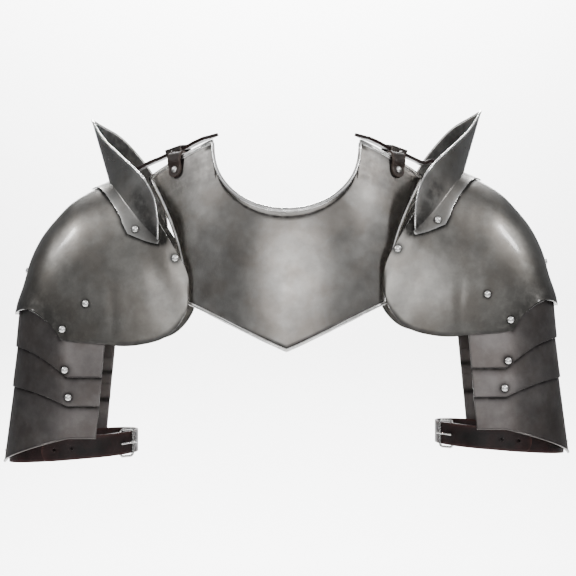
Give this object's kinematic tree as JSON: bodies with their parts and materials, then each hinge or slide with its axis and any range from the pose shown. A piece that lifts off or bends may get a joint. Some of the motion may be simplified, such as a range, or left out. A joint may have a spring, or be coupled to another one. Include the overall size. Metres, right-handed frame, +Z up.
{
  "type": "gorget plate with pauldrons",
  "caption": "Pointed steel gorget plate with a rolled neck edge and a domed pauldron on each shoulder, each with an upstanding neck guard, hinged lames and a buckled arm strap.",
  "frame": {"origin": "middle of the body between the shoulders, at the height of the shoulder straps", "axes": "+X from shoulder to shoulder towards the wearer's left, +Y to the wearer's back, +Z up; the wearer faces -Y"},
  "size_m": [0.6204, 0.1999, 0.3872],
  "materials": {
    "plate_steel": "satin, hand worn",
    "dark_steel": "satin, browned",
    "rivet_steel": "bright",
    "dark_leather": "dull, aged",
    "brown_leather": "dull, aged"
  },
  "bodies": {
    "harness": {"gorget_plate": "plate_steel", "shell_left": "plate_steel", "haute_piece_left": "dark_steel", "wing_rivet_front_left": "rivet_steel", "wing_rivet_back_left": "rivet_steel", "cap_rivet_front_left": "rivet_steel", "cap_rivet_back_left": "rivet_steel", "side_rivet_left": "rivet_steel", "strap_rivet_left": "rivet_steel", "haute_rivet_front_left": "rivet_steel", "haute_rivet_back_left": "rivet_steel", "pivot_rivet_1_front_left": "rivet_steel", "pivot_rivet_1_back_left": "rivet_steel", "shoulder_strap_left": "dark_leather", "shoulder_loop_left": "plate_steel", "shoulder_tab_left": "brown_leather", "tab_rivet_left": "rivet_steel", "shell_right": "plate_steel", "haute_piece_right": "dark_steel", "wing_rivet_front_right": "rivet_steel", "wing_rivet_back_right": "rivet_steel", "cap_rivet_front_right": "rivet_steel", "cap_rivet_back_right": "rivet_steel", "side_rivet_right": "rivet_steel", "strap_rivet_right": "rivet_steel", "haute_rivet_front_right": "rivet_steel", "haute_rivet_back_right": "rivet_steel", "pivot_rivet_1_front_right": "rivet_steel", "pivot_rivet_1_back_right": "rivet_steel", "shoulder_strap_right": "dark_leather", "shoulder_loop_right": "plate_steel", "shoulder_tab_right": "brown_leather", "tab_rivet_right": "rivet_steel"},
    "lame_1_left": {"lame_1_left": "dark_steel", "pivot_rivet_2_front_left": "rivet_steel", "pivot_rivet_2_back_left": "rivet_steel"},
    "lame_1_right": {"lame_1_right": "dark_steel", "pivot_rivet_2_front_right": "rivet_steel", "pivot_rivet_2_back_right": "rivet_steel"},
    "lame_2_left": {"lame_2_left": "dark_steel", "pivot_rivet_3_front_left": "rivet_steel", "pivot_rivet_3_back_left": "rivet_steel"},
    "lame_2_right": {"lame_2_right": "dark_steel", "pivot_rivet_3_front_right": "rivet_steel", "pivot_rivet_3_back_right": "rivet_steel"},
    "lame_3_left": {"lame_3_left": "dark_steel", "arm_strap_left": "dark_leather", "arm_buckle_left": "rivet_steel", "buckle_prong_left": "rivet_steel", "strap_pin_left": "rivet_steel"},
    "lame_3_right": {"lame_3_right": "dark_steel", "arm_strap_right": "dark_leather", "arm_buckle_right": "rivet_steel", "buckle_prong_right": "rivet_steel", "strap_pin_right": "rivet_steel"}
  },
  "joints": [
    {"name": "lame_1_left_pivot", "type": "hinge", "parent": "harness", "child": "lame_1_left", "pos_m": [-0.23846, 0, -0.19563], "axis": [0, 1, 0], "range_deg": [0, 12]},
    {"name": "lame_2_left_pivot", "type": "hinge", "parent": "lame_1_left", "child": "lame_2_left", "pos_m": [-0.23641, 0, -0.2393], "axis": [0, 1, 0], "range_deg": [0, 12]},
    {"name": "lame_3_left_pivot", "type": "hinge", "parent": "lame_2_left", "child": "lame_3_left", "pos_m": [-0.23281, 0, -0.26859], "axis": [0, 1, 0], "range_deg": [0, 7]},
    {"name": "lame_1_right_pivot", "type": "hinge", "parent": "harness", "child": "lame_1_right", "pos_m": [0.23846, 0, -0.18563], "axis": [0, -1, 0], "range_deg": [0, 12]},
    {"name": "lame_2_right_pivot", "type": "hinge", "parent": "lame_1_right", "child": "lame_2_right", "pos_m": [0.23641, 0, -0.2293], "axis": [0, -1, 0], "range_deg": [0, 12]},
    {"name": "lame_3_right_pivot", "type": "hinge", "parent": "lame_2_right", "child": "lame_3_right", "pos_m": [0.23281, 0, -0.25859], "axis": [0, -1, 0], "range_deg": [0, 7]}
  ]
}
